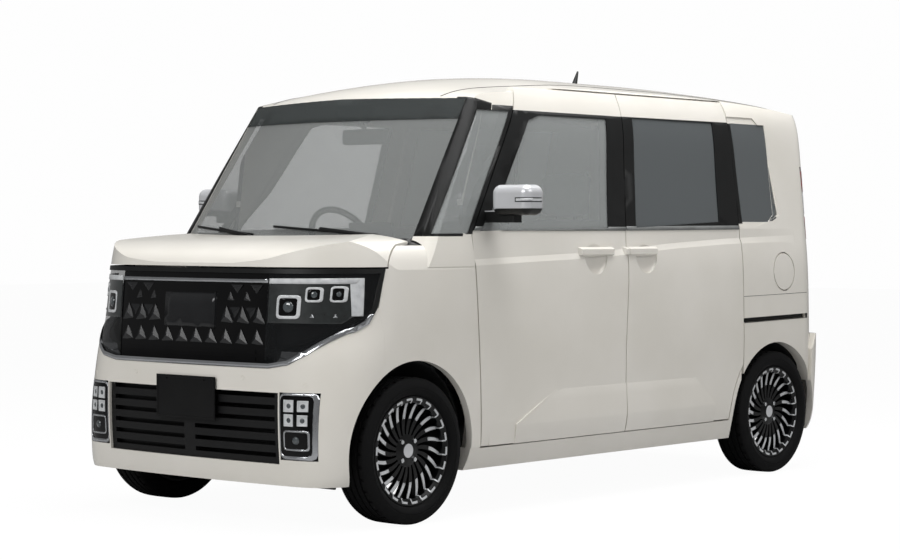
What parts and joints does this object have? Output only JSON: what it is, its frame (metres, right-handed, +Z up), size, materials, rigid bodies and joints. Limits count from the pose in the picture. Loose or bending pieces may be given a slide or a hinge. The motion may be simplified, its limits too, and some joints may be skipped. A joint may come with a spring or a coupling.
{
  "type": "kei car",
  "caption": "Small tall-roofed passenger car with hinged front doors, hood, tailgate and fuel lid, steering front wheels and four rolling wheels; sliding rear doors are shown shut.",
  "frame": {"origin": "on the ground under the middle of the car", "axes": "+X forward, +Y to the car's left, +Z up"},
  "size_m": [3.403, 1.88, 1.8557],
  "materials": {
    "paint": "pearl",
    "trim": "satin",
    "glass": "clear",
    "dark_glass": "tinted",
    "lens": "gloss",
    "tail_lens": "gloss",
    "silver": "satin",
    "grille": "gloss",
    "mirror_shell": "satin",
    "alloy": "machined",
    "tyre": "matte",
    "steel": "matte",
    "floor": "matte",
    "seat": "woven",
    "dash": "grained",
    "plate": "gloss"
  },
  "bodies": {
    "body": {"body_side_left": "paint", "body_side_right": "paint", "roof_panel": "paint", "cowl_panel": "trim", "fender_left": "paint", "fender_right": "paint", "front_bumper": "paint", "front_grille": "grille", "grille_frame": "silver", "lower_grille": "trim", "fog_lamps": "silver", "headlamp_left": "lens", "headlamp_right": "lens", "rear_bumper": "paint", "rear_lamps": "tail_lens", "sliding_door_left": "paint", "sliding_door_right": "paint", "sliding_door_glass": "dark_glass", "front_quarter_glass": "glass", "rear_quarter_glass": "dark_glass", "windshield": "glass", "floor_pan": "floor", "wheel_arch_liners": "trim", "engine_block": "steel", "front_subframe": "steel", "rear_axle": "steel", "fuel_tank": "steel", "dashboard": "dash", "steering_column": "steel", "front_seats": "seat", "rear_seats": "seat", "number_plate_front": "plate", "roof_antenna": "trim"},
    "hood": {"hood": "paint"},
    "front_door_left": {"front_door_left": "paint", "front_door_glass_left": "glass", "mirror_left": "mirror_shell"},
    "front_door_right": {"front_door_right": "paint", "front_door_glass_right": "glass", "mirror_right": "mirror_shell"},
    "tailgate": {"tailgate": "paint", "tailgate_glass": "dark_glass", "number_plate_rear": "plate"},
    "fuel_lid": {"fuel_lid": "paint"},
    "steering_wheel": {"steering_wheel": "dash"},
    "knuckle_left": {"knuckle_left": "steel"},
    "knuckle_right": {"knuckle_right": "steel"},
    "wheel_front_left": {"wheel_front_left": "alloy", "tyre_front_left": "tyre"},
    "wheel_front_right": {"wheel_front_right": "alloy", "tyre_front_right": "tyre"},
    "wheel_rear_left": {"wheel_rear_left": "alloy", "tyre_rear_left": "tyre"},
    "wheel_rear_right": {"wheel_rear_right": "alloy", "tyre_rear_right": "tyre"}
  },
  "joints": [
    {"name": "front_door_left_hinge", "type": "hinge", "parent": "body", "child": "front_door_left", "pos_m": [0.845, 0.7385, 0.9], "axis": [0, 0, -1], "range_deg": [0, 70]},
    {"name": "front_door_right_hinge", "type": "hinge", "parent": "body", "child": "front_door_right", "pos_m": [0.845, -0.7385, 0.9], "axis": [0, 0, 1], "range_deg": [0, 70]},
    {"name": "hood_hinge", "type": "hinge", "parent": "body", "child": "hood", "pos_m": [1.146, 0, 1.082], "axis": [0, -1, 0], "range_deg": [0, 60]},
    {"name": "tailgate_hinge", "type": "hinge", "parent": "body", "child": "tailgate", "pos_m": [-1.56675, 0, 1.745], "axis": [0, 1, 0], "range_deg": [0, 80]},
    {"name": "fuel_lid_hinge", "type": "hinge", "parent": "body", "child": "fuel_lid", "pos_m": [-1.27875, 0.7305, 0.929], "axis": [0, 0, -1], "range_deg": [0, 90]},
    {"name": "steer_left", "type": "hinge", "parent": "body", "child": "knuckle_left", "pos_m": [1.1985, 0.6, 0.281], "axis": [0, 0, 1], "range_deg": [-35, 35]},
    {"name": "steer_right", "type": "hinge", "parent": "body", "child": "knuckle_right", "pos_m": [1.1985, -0.6, 0.281], "axis": [0, 0, 1], "range_deg": [-35, 35]},
    {"name": "steering_wheel_turn", "type": "hinge", "parent": "body", "child": "steering_wheel", "pos_m": [0.47, -0.34, 1.052], "axis": [-0.8829, 0, 0.4695], "range_deg": [-540, 540]},
    {"name": "spin_front_left", "type": "hinge", "parent": "knuckle_left", "child": "wheel_front_left", "pos_m": [1.1985, 0.65, 0.281], "axis": [0, 1, 0], "continuous": true},
    {"name": "spin_front_right", "type": "hinge", "parent": "knuckle_right", "child": "wheel_front_right", "pos_m": [1.1985, -0.65, 0.281], "axis": [0, 1, 0], "continuous": true},
    {"name": "spin_rear_left", "type": "hinge", "parent": "body", "child": "wheel_rear_left", "pos_m": [-1.2965, 0.65, 0.281], "axis": [0, 1, 0], "continuous": true},
    {"name": "spin_rear_right", "type": "hinge", "parent": "body", "child": "wheel_rear_right", "pos_m": [-1.2965, -0.65, 0.281], "axis": [0, 1, 0], "continuous": true}
  ],
  "couplings": [
    {"joint": "steer_right", "follows": "steer_left", "ratio": 1},
    {"joint": "steering_wheel_turn", "follows": "steer_left", "ratio": 15}
  ]
}
